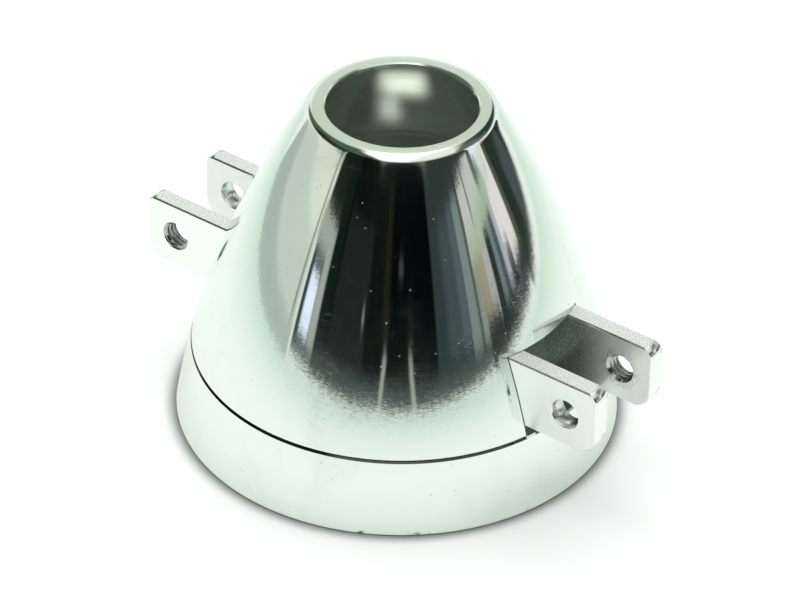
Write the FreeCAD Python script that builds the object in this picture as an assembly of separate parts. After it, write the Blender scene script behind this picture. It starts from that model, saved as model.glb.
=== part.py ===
import FreeCAD, Part
import math
import os

# Open-nosed "turbo" spinner of 45 mm for a folding propeller, in millimetres, +Z up.
# The origin is the centre of the backplate's bottom face, and the forks that carry
# the blades point along +X and -X.  The cone and the backplate share one ogive.

os.makedirs("parts", exist_ok=True)
V = FreeCAD.Vector
Z_AXIS = V(0, 0, 1)
FULL_TURN = 360.0

# ---- outer form: one arc from the foot to the nose -------------------------------
BASE_R = 22.5            # radius of the ogive at the bottom plane
OGIVE_R = 97.82          # radius of the ogive's arc
FOOT_LEAN = 9.35         # lean of the wall at the bottom plane, degrees
SEAM_Z = 7.82            # plane where the cone stands on the backplate
NOSE_Z = 35.57           # flat rim of the open nose
FOOT_BEVEL = 0.13        # broken edge at the bottom
RING_BEVEL = 0.15        # backplate's edge at the seam
CONE_BEVEL = 0.21        # cone's edge at the seam

# ---- cone ------------------------------------------------------------------------
NOSE_RIM = 1.667         # from the nose hole to the ogive, in the rim's plane
NOSE_ROUND = 1.07        # rounded outer edge of the nose
NOSE_EDGE_BREAK = 0.13
NOSE_LAND = 0.48         # height of the hole's straight edge
CONE_WALL = 1.6          # wall where the inner taper ends
FOOT_WALL = 4.92         # foot that stands on the backplate, from its bore outwards
FOOT_BORE_DEPTH = 5.6
INNER_TAPER_DEPTH = 15.6  # where the inner taper meets the even wall, from the seam

# ---- forks of the yoke -----------------------------------------------------------
BLADE_GAP = 7.4          # room for a blade root
EAR_THICK = 1.98
EAR_HEIGHT = 7.29
EAR_BOTTOM_Z = 9.0
PIVOT_PAST_BASE = 1.82   # from the ogive's foot out to the pivot
EAR_REACH = 3.64         # from the pivot to the ear's end
EAR_TOP_ROUND = 1.02
EAR_FOOT_ROUND = 2.14
ROOT_SWEEP_R = 8.79      # concave root of the fork, about the pivot
EAR_EDGE_BREAK = 0.15
PIN_R = 1.5
PIN_CLEAR = 0.015
PIN_HOLE_BREAK = 0.1
PIN_THREAD_CORE_R = 1.25
PIN_THREAD_BREAK = 0.35
SLOT_CLEAR = 0.08        # between a fork and the cone's slot

# ---- backplate -------------------------------------------------------------------
SKIRT_WALL = 2.05        # at the bottom plane
WEB_THICK = 2.5
HUB_R = 8.6
HUB_BOTTOM_Z = 2.2
HUB_LUG_HEIGHT = 2.0     # lugs that hold the yoke from turning
HUB_SLOT_CLEAR = 0.05
REGISTER_CLEAR = 0.05
REGISTER_HEIGHT = 0.9
REGISTER_WALL = 1.2
WINDOW_GAP = 0.8         # from the hub to a cooling window
WINDOW_EDGE = 0.45       # from a cooling window to the register
WINDOW_COUNT = 4
SPOKE_WIDTH = 4.9
WINDOW_ROUND = 0.8

# ---- collet, washer and nut ------------------------------------------------------
SHAFT_R = 2.0
SHAFT_DEPTH = 15.0
COLLET_BOTTOM_Z = 1.0
COLLET_BOTTOM_R = 4.9
COLLET_HALF_ANGLE = 8.0
COLLET_SHOULDER_GAP = 0.4  # from the collet's shoulder to the yoke
TAPER_CLEAR = 0.02
COLLET_SLITS = 3
SLIT_WIDTH = 0.6
SLIT_DEPTH = 6.6
STEM_R = 3.0
STEM_CLEAR = 0.05
STEM_END_BREAK = 0.5
STEM_PAST_NUT = 1.2
WASHER_R = 6.0
WASHER_THICK = 1.2
WASHER_EDGE_BREAK = 0.15
NUT_FLATS = 10.0
NUT_HEIGHT = 5.0
NUT_CORNER_ANGLE = 30.0
THREAD_CLEAR = 0.02

# ---- screws that hold the cone ---------------------------------------------------
SCREW_COUNT = 4
SCREW_FIRST_ANGLE = 45.0
SCREW_R = 1.0
SCREW_WALL = 0.7         # from the foot's bore to a screw
SCREW_GRIP = 4.0         # thread length in the cone
SCREW_HOLE_CLEAR = 0.15
SCREW_HOLE_SPARE = 0.8   # tapped hole past the screw's end
SCREW_HEAD_R = 1.9
SCREW_HEAD_HEIGHT = 2.0
SCREW_HEAD_BREAK = 0.2
SOCKET_FLATS = 1.5
SOCKET_DEPTH = 1.0

# ---- places that follow from the sizes above -------------------------------------
OGIVE_CENTRE_R = BASE_R - OGIVE_R * math.cos(math.radians(FOOT_LEAN))
OGIVE_CENTRE_Z = -OGIVE_R * math.sin(math.radians(FOOT_LEAN))


def ogive_radius(z, inset=0.0):
    """Radius at height z of the ogive, moved inwards along its normal by inset."""
    rise = z - OGIVE_CENTRE_Z
    return OGIVE_CENTRE_R + math.sqrt((OGIVE_R - inset) ** 2 - rise ** 2)


NOSE_HOLE_R = ogive_radius(NOSE_Z) - NOSE_RIM
FOOT_BORE_R = ogive_radius(SEAM_Z) - FOOT_WALL
FOOT_BORE_TOP_Z = SEAM_Z + FOOT_BORE_DEPTH
INNER_TAPER_TOP_Z = SEAM_Z + INNER_TAPER_DEPTH
FORK_HALF = BLADE_GAP / 2 + EAR_THICK
EAR_TOP_Z = EAR_BOTTOM_Z + EAR_HEIGHT
PIVOT_X = BASE_R + PIVOT_PAST_BASE
EAR_END_X = PIVOT_X + EAR_REACH
PIVOT_Z = EAR_BOTTOM_Z + EAR_HEIGHT / 2
PIN_HOLE_R = PIN_R + PIN_CLEAR
SKIRT_BORE_R = BASE_R - SKIRT_WALL
WEB_BOTTOM_Z = SEAM_Z - WEB_THICK
REGISTER_R = FOOT_BORE_R - REGISTER_CLEAR
REGISTER_BORE_R = REGISTER_R - REGISTER_WALL
WINDOW_INNER_R = HUB_R + WINDOW_GAP
WINDOW_OUTER_R = REGISTER_BORE_R - WINDOW_EDGE
SCREW_CIRCLE_R = FOOT_BORE_R + SCREW_R + SCREW_WALL
SHOULDER_Z = EAR_BOTTOM_Z - COLLET_SHOULDER_GAP
NUT_BOTTOM_Z = EAR_TOP_Z + WASHER_THICK
STEM_TOP_Z = NUT_BOTTOM_Z + NUT_HEIGHT + STEM_PAST_NUT
REACH_ALL = 2 * EAR_END_X  # longer than any piece, for cutting tools


def wall_at(r, z):
    """Thickness of the wall between the ogive and the point (r, z) inside it."""
    return OGIVE_R - math.hypot(r - OGIVE_CENTRE_R, z - OGIVE_CENTRE_Z)


def arc_through(points):
    return Part.Arc(*[V(r, 0, z) for r, z in points]).toShape()


def ogive_arc(z_from, z_to, inset_from=0.0, inset_to=0.0):
    """Arc of the ogive between two heights, moved inwards by an inset that may change along it."""
    points = []
    for part in (0.0, 0.5, 1.0):
        z = z_from + part * (z_to - z_from)
        inset = inset_from + part * (inset_to - inset_from)
        points.append((ogive_radius(z, inset), z))
    return arc_through(points)


def profile(*steps):
    """Closed face in the XZ plane: (r, z) points joined by lines, and edges taken as they are."""
    edges = []
    first = None
    last = None
    for step in steps:
        if isinstance(step, tuple):
            start = end = V(step[0], 0, step[1])
            edge = None
        else:
            start = step.Vertexes[0].Point
            end = step.Vertexes[-1].Point
            edge = step
        if last is None:
            first = start
        elif last.distanceToPoint(start) > 1e-7:
            edges.append(Part.makeLine(last, start))
        if edge is not None:
            edges.append(edge)
        last = end
    if last.distanceToPoint(first) > 1e-7:
        edges.append(Part.makeLine(last, first))
    return Part.Face(Part.Wire(edges))


def turned(face):
    """Turns a profile face about the Z axis."""
    return face.revolve(V(0, 0, 0), Z_AXIS, FULL_TURN)


def around(shape, angle):
    """Copy of a shape, turned about the Z axis."""
    copy = shape.copy()
    copy.rotate(V(0, 0, 0), Z_AXIS, angle)
    return copy


def block(x_from, x_to, y_half, z_from, z_to):
    """Box from x_from to x_to, y_half to both sides of the XZ plane."""
    corner = V(x_from, -y_half, z_from)
    return Part.makeBox(x_to - x_from, 2 * y_half, z_to - z_from, corner)


def hexagon(flats, height, z):
    """Hexagonal prism, flats across, standing on height z."""
    corner_r = flats / 2 / math.cos(math.radians(30))
    points = [V(corner_r * math.cos(math.radians(60 * i)), corner_r * math.sin(math.radians(60 * i)), z)
              for i in range(7)]
    return Part.Face(Part.makePolygon(points)).extrude(V(0, 0, height))


def nose_rounding():
    """Arc that rounds the ogive into the flat rim, from the wall to the rim."""
    centre_z = NOSE_Z - NOSE_ROUND
    centre_r = ogive_radius(centre_z, NOSE_ROUND)
    wall_angle = math.atan2(centre_z - OGIVE_CENTRE_Z, centre_r - OGIVE_CENTRE_R)
    points = []
    for angle in (wall_angle, (wall_angle + math.pi / 2) / 2, math.pi / 2):
        points.append((centre_r + NOSE_ROUND * math.cos(angle), centre_z + NOSE_ROUND * math.sin(angle)))
    return arc_through(points)


def screw_places():
    """Angles of the cone's screws, between the forks."""
    return [SCREW_FIRST_ANGLE + i * FULL_TURN / SCREW_COUNT for i in range(SCREW_COUNT)]


def make_cone():
    """Turned ogive shell with an open nose, two fork slots open at the foot, and tapped holes."""
    rounding = nose_rounding()
    wall_top_z = rounding.Vertexes[0].Point.z
    land_bottom_z = NOSE_Z - NOSE_LAND
    nose_wall = wall_at(NOSE_HOLE_R, land_bottom_z)
    shell = turned(profile(
        (FOOT_BORE_R, SEAM_Z),
        (ogive_radius(SEAM_Z) - CONE_BEVEL, SEAM_Z),
        ogive_arc(SEAM_Z + CONE_BEVEL, wall_top_z),
        rounding,
        (NOSE_HOLE_R + NOSE_EDGE_BREAK, NOSE_Z),
        (NOSE_HOLE_R, NOSE_Z - NOSE_EDGE_BREAK),
        ogive_arc(land_bottom_z, INNER_TAPER_TOP_Z, nose_wall, CONE_WALL),
        (FOOT_BORE_R, FOOT_BORE_TOP_Z),
    ))
    slot_half = FORK_HALF + SLOT_CLEAR
    shell = shell.cut(block(-REACH_ALL, REACH_ALL, slot_half, 0, EAR_TOP_Z + SLOT_CLEAR))
    depth = SCREW_GRIP + SCREW_HOLE_SPARE
    hole = Part.makeCylinder(SCREW_R + THREAD_CLEAR, depth, V(SCREW_CIRCLE_R, 0, SEAM_Z))
    point = Part.makeCone(SCREW_R + THREAD_CLEAR, 0, (SCREW_R + THREAD_CLEAR) / 2,
                          V(SCREW_CIRCLE_R, 0, SEAM_Z + depth))
    return shell.cut([around(hole.fuse(point), angle) for angle in screw_places()])


def collet_taper_radius(z):
    return COLLET_BOTTOM_R - (z - COLLET_BOTTOM_Z) * math.tan(math.radians(COLLET_HALF_ANGLE))


def cooling_window():
    """Tool for one window: a ring sector between two spokes with parallel sides and round corners."""
    height = WEB_THICK + REGISTER_HEIGHT
    ring = Part.makeCylinder(WINDOW_OUTER_R, height, V(0, 0, WEB_BOTTOM_Z)).cut(
        Part.makeCylinder(WINDOW_INNER_R, height, V(0, 0, WEB_BOTTOM_Z)))
    half_step = 180.0 / WINDOW_COUNT
    spokes = [around(block(0, REACH_ALL, SPOKE_WIDTH / 2, 0, SEAM_Z * 2), side * half_step)
              for side in (-1, 1)]
    wedge_corner = V(REACH_ALL, 0, WEB_BOTTOM_Z)
    wedge_corner_a = around(Part.Vertex(wedge_corner), half_step).Point
    wedge_corner_b = around(Part.Vertex(wedge_corner), -half_step).Point
    outline = Part.makePolygon([V(0, 0, WEB_BOTTOM_Z), wedge_corner_b, wedge_corner_a, V(0, 0, WEB_BOTTOM_Z)])
    wedge = Part.Face(outline).extrude(V(0, 0, height))
    window = ring.common(wedge).cut(spokes)
    upright = [edge for edge in window.Edges
               if abs(edge.Vertexes[0].Point.z - edge.Vertexes[-1].Point.z) > height / 2]
    return window.makeFillet(WINDOW_ROUND, upright)


def make_backplate():
    """Ring that carries on the ogive, with a web, a register for the cone and a tapered hub."""
    ring = turned(profile(
        (SKIRT_BORE_R, 0),
        (BASE_R - FOOT_BEVEL, 0),
        ogive_arc(FOOT_BEVEL, SEAM_Z - RING_BEVEL),
        (ogive_radius(SEAM_Z) - RING_BEVEL, SEAM_Z),
        (REGISTER_R, SEAM_Z),
        (REGISTER_R, SEAM_Z + REGISTER_HEIGHT),
        (REGISTER_BORE_R, SEAM_Z + REGISTER_HEIGHT),
        (REGISTER_BORE_R, SEAM_Z),
        (0, SEAM_Z),
        (0, WEB_BOTTOM_Z),
        (SKIRT_BORE_R, WEB_BOTTOM_Z),
    ))
    lug_top_z = EAR_BOTTOM_Z + HUB_LUG_HEIGHT
    hub = Part.makeCylinder(HUB_R, lug_top_z - HUB_BOTTOM_Z, V(0, 0, HUB_BOTTOM_Z))
    plate = ring.fuse(hub)
    key = block(-REACH_ALL, REACH_ALL, FORK_HALF + HUB_SLOT_CLEAR, EAR_BOTTOM_Z, lug_top_z)
    bore = Part.makeCone(collet_taper_radius(0) + TAPER_CLEAR, collet_taper_radius(lug_top_z) + TAPER_CLEAR,
                         lug_top_z)
    window = cooling_window()
    windows = [around(window, i * FULL_TURN / WINDOW_COUNT) for i in range(WINDOW_COUNT)]
    screw_hole = Part.makeCylinder(SCREW_R + SCREW_HOLE_CLEAR, WEB_THICK, V(SCREW_CIRCLE_R, 0, WEB_BOTTOM_Z))
    screw_holes = [around(screw_hole, angle) for angle in screw_places()]
    return plate.cut([key, bore] + windows + screw_holes)


def yoke_outline():
    """Side view of the yoke: a bar whose ends have a small top corner and a larger foot corner."""
    top = EAR_TOP_Z
    foot = EAR_BOTTOM_Z
    end = EAR_END_X
    diagonal = math.sqrt(0.5)

    def corner(side, z, rounding, up):
        """Quarter arc in the corner at x = side * end and height z."""
        centre_x = side * (end - rounding)
        centre_z = z - up * rounding
        return [V(centre_x, 0, z),
                V(centre_x + side * rounding * diagonal, 0, centre_z + up * rounding * diagonal),
                V(side * end, 0, centre_z)]

    top_right = corner(1, top, EAR_TOP_ROUND, 1)
    foot_right = corner(1, foot, EAR_FOOT_ROUND, -1)[::-1]
    foot_left = corner(-1, foot, EAR_FOOT_ROUND, -1)
    top_left = corner(-1, top, EAR_TOP_ROUND, 1)[::-1]
    corners = [top_right, foot_right, foot_left, top_left]
    edges = []
    for arc, following in zip(corners, corners[1:] + corners[:1]):
        edges.append(Part.Arc(*arc).toShape())
        edges.append(Part.makeLine(arc[-1], following[0]))
    return Part.Face(Part.Wire(edges))


def across(radius, x, y_from, y_to):
    """Cylinder along Y on the pivot line at x."""
    return Part.makeCylinder(radius, y_to - y_from, V(x, y_from, PIVOT_Z), V(0, 1, 0))


def pin_hole(side, y_side, threaded):
    """Tool for the hole of one ear, with both of its edges broken."""
    radius = PIN_THREAD_CORE_R if threaded else PIN_HOLE_R
    edge_break = PIN_THREAD_BREAK if threaded else PIN_HOLE_BREAK
    x = side * PIVOT_X
    inner = y_side * BLADE_GAP / 2
    outer = y_side * FORK_HALF
    tool = across(radius, x, min(inner, outer), max(inner, outer))
    for face_y, inward in ((inner, y_side), (outer, -y_side)):
        cone = Part.makeCone(radius + edge_break, radius, edge_break, V(x, face_y, PIVOT_Z), V(0, inward, 0))
        tool = tool.fuse(cone)
    return tool


def make_yoke():
    """One milled piece: a bar with a fork at each end and a bore for the collet's stem."""
    bar = yoke_outline().extrude(V(0, 2 * FORK_HALF, 0))
    bar.translate(V(0, -FORK_HALF, 0))
    gaps = []
    for side in (-1, 1):
        far = side * (EAR_END_X + 1)
        near = side * PIVOT_X
        gaps.append(block(min(near, far), max(near, far), BLADE_GAP / 2, 0, NOSE_Z))
        gaps.append(across(ROOT_SWEEP_R, near, -BLADE_GAP / 2, BLADE_GAP / 2))
    bar = bar.cut(gaps)

    def on_ear_face(edge):
        """True for the outline edges of an ear, on its outer or inner face."""
        ends = [vertex.Point for vertex in edge.Vertexes]
        inner = all(abs(abs(p.y) - BLADE_GAP / 2) < 1e-6 for p in ends)
        outer = all(abs(abs(p.y) - FORK_HALF) < 1e-6 for p in ends)
        at_root = abs(edge.BoundBox.Center.x) < PIVOT_X - ROOT_SWEEP_R + EAR_HEIGHT / 4
        crosses = ends[0].y * ends[-1].y < 0
        return (outer or (inner and not at_root)) and not crosses

    bar = bar.makeChamfer(EAR_EDGE_BREAK, [edge for edge in bar.Edges if on_ear_face(edge)])
    holes = [pin_hole(side, y_side, side == y_side) for side in (-1, 1) for y_side in (-1, 1)]
    stem_bore = Part.makeCylinder(STEM_R + STEM_CLEAR, EAR_HEIGHT, V(0, 0, EAR_BOTTOM_Z))
    return bar.cut(holes + [stem_bore])


def make_collet():
    """Split taper that grips the motor shaft, with a threaded stem through the yoke."""
    body = turned(profile(
        (0, COLLET_BOTTOM_Z),
        (COLLET_BOTTOM_R, COLLET_BOTTOM_Z),
        (collet_taper_radius(SHOULDER_Z), SHOULDER_Z),
        (STEM_R, SHOULDER_Z),
        (STEM_R, STEM_TOP_Z - STEM_END_BREAK),
        (STEM_R - STEM_END_BREAK, STEM_TOP_Z),
        (0, STEM_TOP_Z),
    ))
    shaft_bore = Part.makeCylinder(SHAFT_R, SHAFT_DEPTH, V(0, 0, COLLET_BOTTOM_Z))
    slit = Part.makeBox(COLLET_BOTTOM_R * 2, SLIT_WIDTH, SLIT_DEPTH, V(0, -SLIT_WIDTH / 2, COLLET_BOTTOM_Z))
    slits = [around(slit, i * FULL_TURN / COLLET_SLITS) for i in range(COLLET_SLITS)]
    return body.cut([shaft_bore] + slits)


def make_washer():
    bottom = EAR_TOP_Z
    top = EAR_TOP_Z + WASHER_THICK
    inner = STEM_R + STEM_CLEAR
    return turned(profile(
        (inner, bottom),
        (WASHER_R, bottom),
        (WASHER_R, top - WASHER_EDGE_BREAK),
        (WASHER_R - WASHER_EDGE_BREAK, top),
        (inner, top),
    ))


def make_nut():
    """Hexagon nut with turned corners on both ends."""
    prism = hexagon(NUT_FLATS, NUT_HEIGHT, NUT_BOTTOM_Z)
    corner_r = NUT_FLATS / 2 / math.cos(math.radians(30))
    fall = (corner_r - NUT_FLATS / 2) * math.tan(math.radians(NUT_CORNER_ANGLE))
    top = NUT_BOTTOM_Z + NUT_HEIGHT
    bore_r = STEM_R + THREAD_CLEAR
    envelope = turned(profile(
        (bore_r, NUT_BOTTOM_Z),
        (NUT_FLATS / 2, NUT_BOTTOM_Z),
        (corner_r, NUT_BOTTOM_Z + fall),
        (corner_r, top - fall),
        (NUT_FLATS / 2, top),
        (bore_r, top),
    ))
    return prism.common(envelope)


def make_cone_screws():
    """Cap screws from behind, through the web into the cone."""
    head_bottom = WEB_BOTTOM_Z - SCREW_HEAD_HEIGHT
    screw = turned(profile(
        (0, head_bottom),
        (SCREW_HEAD_R - SCREW_HEAD_BREAK, head_bottom),
        (SCREW_HEAD_R, head_bottom + SCREW_HEAD_BREAK),
        (SCREW_HEAD_R, WEB_BOTTOM_Z),
        (SCREW_R, WEB_BOTTOM_Z),
        (SCREW_R, SEAM_Z + SCREW_GRIP - SCREW_HEAD_BREAK),
        (SCREW_R - SCREW_HEAD_BREAK, SEAM_Z + SCREW_GRIP),
        (0, SEAM_Z + SCREW_GRIP),
    ))
    screw = screw.cut(hexagon(SOCKET_FLATS, SOCKET_DEPTH, head_bottom))
    screw.translate(V(SCREW_CIRCLE_R, 0, 0))
    return Part.makeCompound([around(screw, angle) for angle in screw_places()])


NODES = {
    "spinner_cone": make_cone,
    "backplate": make_backplate,
    "blade_yoke": make_yoke,
    "collet": make_collet,
    "collet_washer": make_washer,
    "collet_nut": make_nut,
    "cone_screws": make_cone_screws,
}

for name, make in NODES.items():
    make().exportStep(f"parts/{name}.step")
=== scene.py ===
import math

import bmesh
import bpy
import numpy as np
from mathutils import Matrix, Vector


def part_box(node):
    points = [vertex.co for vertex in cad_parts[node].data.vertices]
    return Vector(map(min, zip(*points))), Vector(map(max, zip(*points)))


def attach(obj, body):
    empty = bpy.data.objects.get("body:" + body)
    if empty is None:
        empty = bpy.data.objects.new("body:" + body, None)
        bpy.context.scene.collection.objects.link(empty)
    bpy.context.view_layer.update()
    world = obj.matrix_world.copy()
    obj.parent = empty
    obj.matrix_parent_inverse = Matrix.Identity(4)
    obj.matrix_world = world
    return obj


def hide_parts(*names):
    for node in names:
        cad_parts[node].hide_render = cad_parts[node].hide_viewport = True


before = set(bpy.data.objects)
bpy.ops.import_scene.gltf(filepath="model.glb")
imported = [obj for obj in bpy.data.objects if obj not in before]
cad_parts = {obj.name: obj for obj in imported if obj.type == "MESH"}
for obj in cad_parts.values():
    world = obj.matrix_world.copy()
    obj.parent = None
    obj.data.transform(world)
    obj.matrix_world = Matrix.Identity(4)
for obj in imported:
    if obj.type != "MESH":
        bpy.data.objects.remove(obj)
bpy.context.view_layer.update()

# Open-nosed spinner for a folding propeller: a mirror polished cone on a base ring, with the satin
# forks of the yoke in its two slots.  Metres, in the frame of the CAD nodes, +Z along the spin axis.

MM = 0.001

# ---- sizes of the turned form ----------------------------------------------------
BASE_R = 22.5 * MM
OGIVE_R = 97.82 * MM
FOOT_LEAN = math.radians(9.35)
FOOT_BEVEL = 0.13 * MM
RING_BEVEL = 0.15 * MM
CONE_BEVEL = 0.21 * MM
NOSE_RIM = 1.667 * MM
NOSE_ROUND = 1.07 * MM
NOSE_EDGE_BREAK = 0.13 * MM
NOSE_LAND = 0.48 * MM
CONE_WALL = 1.6 * MM
FOOT_WALL = 4.92 * MM
FOOT_BORE_DEPTH = 5.6 * MM
INNER_TAPER_DEPTH = 15.6 * MM
SKIRT_WALL = 2.05 * MM
WEB_THICK = 2.5 * MM
REGISTER_CLEAR = 0.05 * MM
SLOT_CLEAR = 0.08 * MM
PIVOT_FROM_END = 3.64 * MM
EAR_THICK = 1.98 * MM
THREAD_PITCH = 0.5 * MM
THREAD_CREST_R = 1.25 * MM
THREAD_ROOT_R = 1.52 * MM
THREAD_MOUTH_R = 1.6 * MM
GROOVE_TOP, GROOVE_FLANK = 1.45, 3.4    # trapezoid of the thread's groove over one pitch

# ---- how finely the surfaces are divided -----------------------------------------
SLOT_ROWS = 18
UPPER_ROWS = 40
NOSE_ROWS = 14
UPPER_TAPER_ROWS = 26
LOWER_TAPER_ROWS = 10
SLOT_COLUMNS = 84
WALL_COLUMNS = 152
RING_COLUMNS = 512
THREAD_ROWS = 150
THREAD_COLUMNS = 96
FLOOR_RINGS = 24
FLOOR_COLUMNS = 128
ROOM_COLUMNS = 481

# ---- places, read from the frame -------------------------------------------------
SEAM_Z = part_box("spinner_cone")[0][2]
NOSE_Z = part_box("spinner_cone")[1][2]
YOKE_LOW, YOKE_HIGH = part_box("blade_yoke")
SLOT_TOP_Z = YOKE_HIGH[2] + SLOT_CLEAR
SLOT_HALF = YOKE_HIGH[1] + SLOT_CLEAR
PIVOT_X = YOKE_HIGH[0] - PIVOT_FROM_END
PIVOT_Z = (YOKE_LOW[2] + YOKE_HIGH[2]) / 2
GAP_HALF = YOKE_HIGH[1] - EAR_THICK
OGIVE_CENTRE_R = BASE_R - OGIVE_R * math.cos(FOOT_LEAN)
OGIVE_CENTRE_Z = -OGIVE_R * math.sin(FOOT_LEAN)


def ogive(z, inset=0.0):
    """Radius of the ogive at height z: centre_r + sqrt((R - inset)^2 - (z - centre_z)^2)."""
    return OGIVE_CENTRE_R + np.sqrt((OGIVE_R - inset) ** 2 - (z - OGIVE_CENTRE_Z) ** 2)


FOOT_BORE_R = float(ogive(SEAM_Z)) - FOOT_WALL
NOSE_HOLE_R = float(ogive(NOSE_Z)) - NOSE_RIM


# ---- mesh helpers ----------------------------------------------------------------
SHARP_TURNED, SHARP_MILLED, SHARP_THREAD, SHARP_NONE = 25.0, 30.0, 32.0, 180.0    # degrees
MERGE = 1e-7
MARGIN = 0.01 * MM        # room for rounding where a face is told by its place
ON_AXIS = 0.9999          # a normal this close to an axis belongs to a flat face


def finish_mesh(name, mesh, sharp_angle, materials, slot):
    """Shades smooth with sharp edges over an angle, adds the materials and, where it is given a slot,
    rides on the body; the stage gets none."""
    mesh.polygons.foreach_set("use_smooth", [True] * len(mesh.polygons))
    mesh.set_sharp_from_angle(angle=math.radians(sharp_angle))
    piece = bpy.data.objects.new(name, mesh)
    bpy.context.scene.collection.objects.link(piece)
    for material in materials:
        mesh.materials.append(material)
    if slot:
        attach(piece, "root")
    return piece


def surface(name, points, faces, slot, materials, face_material=None):
    """Mesh from an array of points and quads, its faces turned outwards."""
    mesh = bpy.data.meshes.new(name)
    mesh.from_pydata(np.asarray(points).reshape(-1, 3), [], np.asarray(faces).tolist())
    bm = bmesh.new()
    bm.from_mesh(mesh)
    bmesh.ops.recalc_face_normals(bm, faces=bm.faces)
    bm.to_mesh(mesh)
    bm.free()
    piece = finish_mesh(name, mesh, SHARP_TURNED, materials, slot)
    if face_material is not None:
        mesh.polygons.foreach_set("material_index", np.asarray(face_material, dtype=np.int32))
    return piece


def quads(rows, columns, close_rows=False, close_columns=False):
    """Quads of a grid whose point (i, j) has the number i * columns + j."""
    i = np.arange(rows if close_rows else rows - 1)[:, None]
    j = np.arange(columns if close_columns else columns - 1)[None, :]
    i_next = (i + 1) % rows
    j_next = (j + 1) % columns
    corners = [i * columns + j, i * columns + j_next, i_next * columns + j_next, i_next * columns + j]
    return np.stack(np.broadcast_arrays(*corners), -1).reshape(-1, 4)


def turned(radii, heights, angle):
    """Points (r cos a, r sin a, z) of a surface of revolution; angle holds a row for each point of
    the section, or one row for all."""
    radii, heights, angle = np.broadcast_arrays(radii[:, None], heights[:, None], angle)
    return np.stack([radii * np.cos(angle), radii * np.sin(angle), heights], -1)


def merged_copy(name, node, slot, materials, keep):
    """Copy of a CAD node's mesh with its split corners merged, and only the faces that keep accepts."""
    bm = bmesh.new()
    bm.from_mesh(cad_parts[node].data)
    bmesh.ops.remove_doubles(bm, verts=bm.verts, dist=MERGE)
    bmesh.ops.delete(bm, geom=[f for f in bm.faces if not keep(f)], context="FACES")
    mesh = bpy.data.meshes.new(name)
    bm.to_mesh(mesh)
    bm.free()
    mesh.materials.clear()
    mesh.polygons.foreach_set("material_index", [0] * len(mesh.polygons))
    piece = finish_mesh(name, mesh, SHARP_MILLED, materials, slot)
    mesh.polygons.foreach_set("use_smooth", [max(map(abs, p.normal)) < ON_AXIS for p in mesh.polygons])
    return piece


# ---- node helpers ----------------------------------------------------------------
def srgb(red, green, blue):
    """Linear colour from screen values of 0 to 255."""
    c = np.array([red, green, blue]) / 255.0
    return np.where(c <= 0.04045, c / 12.92, ((c + 0.055) / 1.055) ** 2.4)


def add(tree, kind, inputs=None, **settings):
    """Adds a node; inputs maps a socket's name or number to a value or to another node's output."""
    made = tree.nodes.new(kind)
    for key, value in settings.items():
        setattr(made, key, value)
    for key, value in (inputs or {}).items():
        if isinstance(value, bpy.types.NodeSocket):
            tree.links.new(value, made.inputs[key])
        else:
            made.inputs[key].default_value = value
    return made


def sums(tree, operation, a, b=0.0, c=0.0, clamp=False):
    """Result of one Math node."""
    return add(tree, "ShaderNodeMath", {0: a, 1: b, 2: c}, operation=operation, use_clamp=clamp).outputs[0]


def times(tree, a, b):
    """Product of two values."""
    return sums(tree, "MULTIPLY", a, b)


def plus(tree, base, value, share, clamp=False):
    """base + value * share."""
    return sums(tree, "MULTIPLY_ADD", value, share, base, clamp)


def rest(tree, mask):
    """What a mask leaves free: 1 - mask."""
    return sums(tree, "SUBTRACT", 1.0, mask)


def centred(tree, noise_value):
    """Noise less a half, so that it goes both ways."""
    return sums(tree, "SUBTRACT", noise_value, 0.5)


def ramp(tree, value, low, high):
    """Smooth step of a value from 0 at low to 1 at high; low may be the larger of the two."""
    return add(tree, "ShaderNodeMapRange", {0: value, 1: low, 2: high},
               interpolation_type="SMOOTHSTEP").outputs[0]


def object_place(tree):
    """Where a point lies on its piece."""
    return add(tree, "ShaderNodeTexCoord").outputs["Object"]


def split(tree, vector):
    """The x, y and z of a vector."""
    return add(tree, "ShaderNodeSeparateXYZ", {0: vector}).outputs


def joined(tree, x=0.0, y=0.0, z=0.0):
    """Vector of three values."""
    return add(tree, "ShaderNodeCombineXYZ", {0: x, 1: y, 2: z}).outputs[0]


def vectors(tree, operation, a, b=(0.0, 0.0, 0.0)):
    """Result of one Vector Math node."""
    return add(tree, "ShaderNodeVectorMath", {0: a, 1: b}, operation=operation).outputs["Vector"]


def length(tree, vector):
    """Length of a vector."""
    return add(tree, "ShaderNodeVectorMath", {0: vector}, operation="LENGTH").outputs["Value"]


def stretched(tree, place, scale, rotation=(0.0, 0.0, 0.0)):
    """Place turned and scaled on each axis, which draws out the pattern that reads it."""
    return add(tree, "ShaderNodeMapping", {0: place, "Rotation": rotation, "Scale": scale}).outputs[0]


def noise(tree, place, scale, detail, roughness=0.5, distortion=0.0):
    """Noise in space."""
    return add(tree, "ShaderNodeTexNoise", {"Vector": place, "Scale": scale, "Detail": detail,
                                            "Roughness": roughness, "Distortion": distortion}).outputs[0]


def noise_along(tree, way, scale, detail, roughness=0.5):
    """Noise that changes along one value only."""
    return add(tree, "ShaderNodeTexNoise", {"W": way, "Scale": scale, "Detail": detail,
                                            "Roughness": roughness}, noise_dimensions="1D").outputs[0]


def cells(tree, place, scale, feature="F1"):
    """Distance to the middle of scattered cells, or to their edges."""
    return add(tree, "ShaderNodeTexVoronoi", {0: place, "Scale": scale}, feature=feature).outputs["Distance"]


def mixed(tree, factor, colour_a, colour_b):
    """Mix of two colours by a factor; a colour is three numbers or another node's output."""
    a, b = (c if isinstance(c, bpy.types.NodeSocket) else (*c, 1.0) for c in (colour_a, colour_b))
    return add(tree, "ShaderNodeMix", {"Factor": factor, "A": a, "B": b}, data_type="RGBA").outputs["Result"]


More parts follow.
